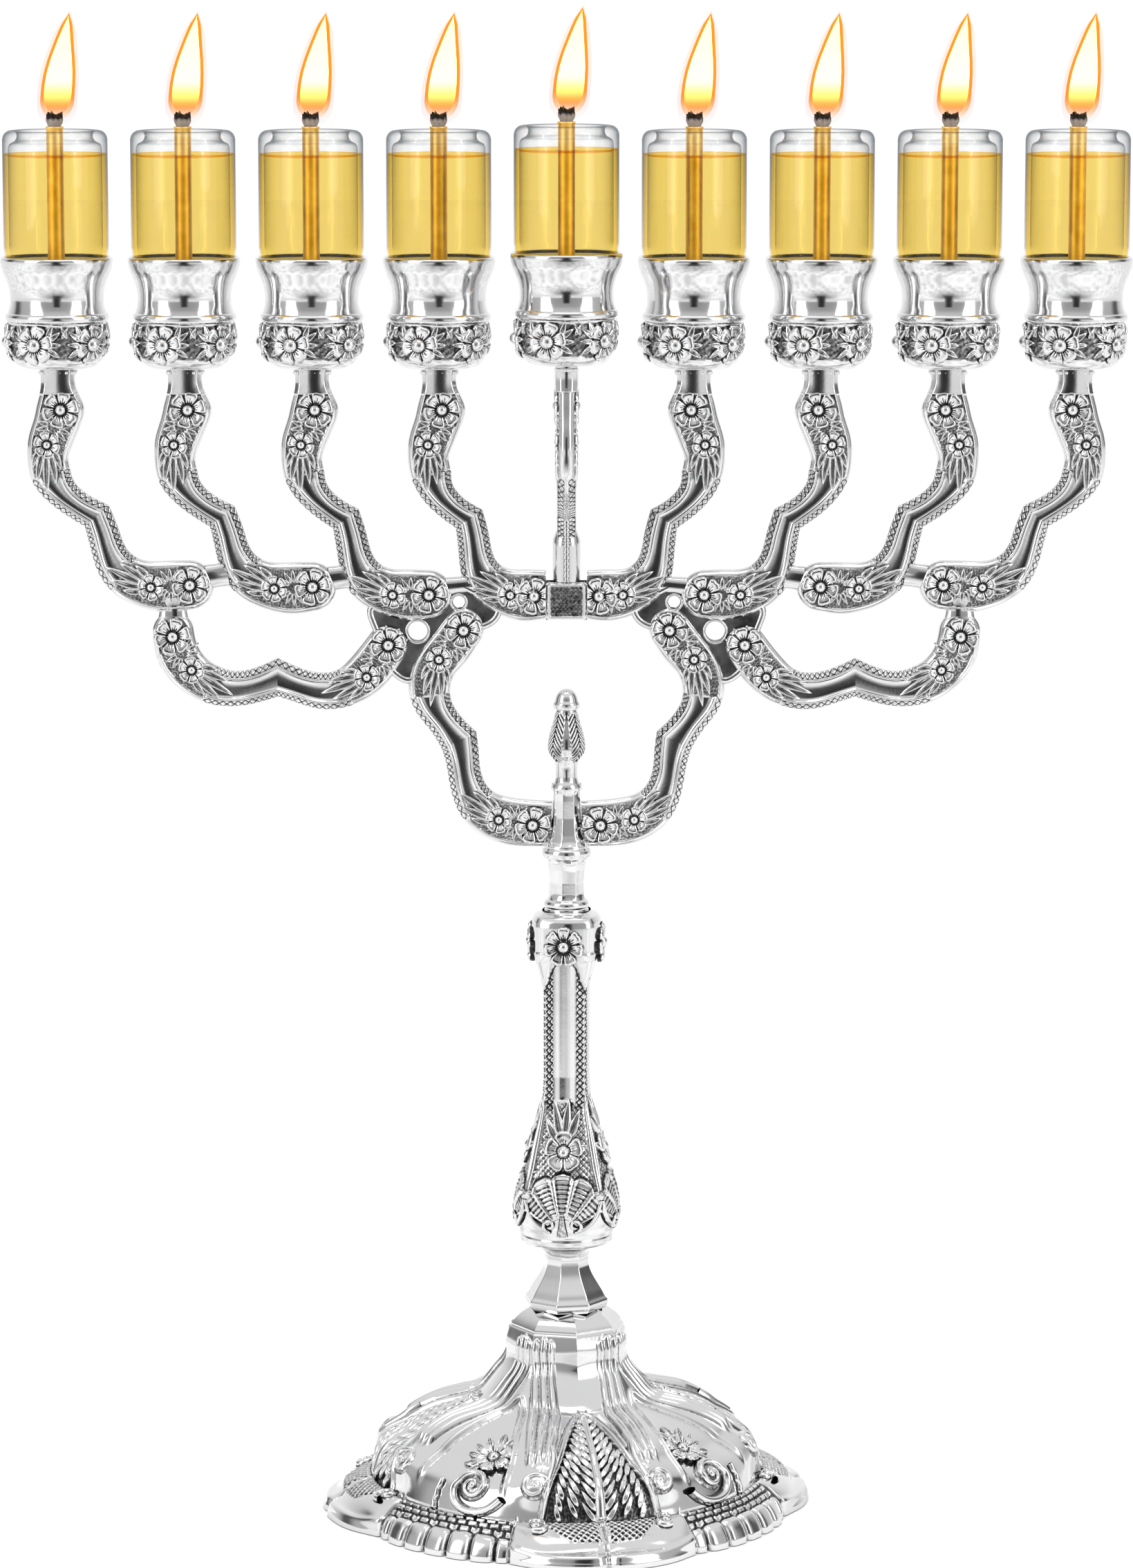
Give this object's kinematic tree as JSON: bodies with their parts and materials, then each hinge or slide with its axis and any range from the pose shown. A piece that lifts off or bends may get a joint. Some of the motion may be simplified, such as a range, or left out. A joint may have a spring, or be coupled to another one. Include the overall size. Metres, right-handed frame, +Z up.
{
  "type": "menorah",
  "caption": "Ornate silver-plated oil menorah: S-shaped arms on a square stem and lobed base, each cup holding a glass oil light with a burning wick.",
  "frame": {"origin": "middle of the base's underside, on the surface that the menorah stands on", "axes": "+Z up, +X to the right along the row of lights, -Y the front, which the shamash stands towards"},
  "size_m": [0.2638, 0.1162, 0.3569],
  "materials": {
    "silver_plate": "polished silver plate over cast metal, darkened by oxidising in the recesses of the ornament",
    "steel": "plain zinc-plated",
    "felt": "black felt",
    "glass": "clear, polished",
    "oil": "clear yellow gelled oil",
    "lit_wick": "gold-coloured tube, grey cotton wick with a charred top, and the flame"
  },
  "bodies": {
    "stand": {"base": "silver_plate", "felt_pad": "felt", "rod_nut": "steel", "tie_rod": "steel", "knop": "silver_plate", "stem": "silver_plate", "hub": "silver_plate", "finial": "silver_plate", "lower_arm_left": "silver_plate", "lower_arm_right": "silver_plate", "link_left": "silver_plate", "link_right": "silver_plate", "arm_1": "silver_plate", "arm_2": "silver_plate", "arm_3": "silver_plate", "arm_4": "silver_plate", "arm_5": "silver_plate", "arm_6": "silver_plate", "arm_7": "silver_plate", "arm_8": "silver_plate", "center_block": "silver_plate", "cup_1": "silver_plate", "cup_2": "silver_plate", "cup_3": "silver_plate", "cup_4": "silver_plate", "cup_6": "silver_plate", "cup_7": "silver_plate", "cup_8": "silver_plate", "cup_9": "silver_plate", "cup_screws": "steel"},
    "shamash": {"shamash_arm": "silver_plate", "cup_5": "silver_plate", "shamash_screw": "steel"},
    "light_1": {"glass_1": "glass", "oil_1": "oil", "lit_wick_1": "lit_wick"},
    "light_2": {"glass_2": "glass", "oil_2": "oil", "lit_wick_2": "lit_wick"},
    "light_3": {"glass_3": "glass", "oil_3": "oil", "lit_wick_3": "lit_wick"},
    "light_4": {"glass_4": "glass", "oil_4": "oil", "lit_wick_4": "lit_wick"},
    "light_5": {"glass_5": "glass", "oil_5": "oil", "lit_wick_5": "lit_wick"},
    "light_6": {"glass_6": "glass", "oil_6": "oil", "lit_wick_6": "lit_wick"},
    "light_7": {"glass_7": "glass", "oil_7": "oil", "lit_wick_7": "lit_wick"},
    "light_8": {"glass_8": "glass", "oil_8": "oil", "lit_wick_8": "lit_wick"},
    "light_9": {"glass_9": "glass", "oil_9": "oil", "lit_wick_9": "lit_wick"}
  },
  "joints": [
    {"name": "shamash_lift", "type": "slide", "parent": "stand", "child": "shamash", "axis": [0, 0, 1], "range_m": [0, 0.02]},
    {"name": "light_1_lift", "type": "slide", "parent": "stand", "child": "light_1", "axis": [0, 0, 1], "range_m": [0, 0.045]},
    {"name": "light_2_lift", "type": "slide", "parent": "stand", "child": "light_2", "axis": [0, 0, 1], "range_m": [0, 0.045]},
    {"name": "light_3_lift", "type": "slide", "parent": "stand", "child": "light_3", "axis": [0, 0, 1], "range_m": [0, 0.045]},
    {"name": "light_4_lift", "type": "slide", "parent": "stand", "child": "light_4", "axis": [0, 0, 1], "range_m": [0, 0.045]},
    {"name": "light_5_lift", "type": "slide", "parent": "shamash", "child": "light_5", "axis": [0, 0, 1], "range_m": [0, 0.045]},
    {"name": "light_6_lift", "type": "slide", "parent": "stand", "child": "light_6", "axis": [0, 0, 1], "range_m": [0, 0.045]},
    {"name": "light_7_lift", "type": "slide", "parent": "stand", "child": "light_7", "axis": [0, 0, 1], "range_m": [0, 0.045]},
    {"name": "light_8_lift", "type": "slide", "parent": "stand", "child": "light_8", "axis": [0, 0, 1], "range_m": [0, 0.045]},
    {"name": "light_9_lift", "type": "slide", "parent": "stand", "child": "light_9", "axis": [0, 0, 1], "range_m": [0, 0.045]}
  ]
}
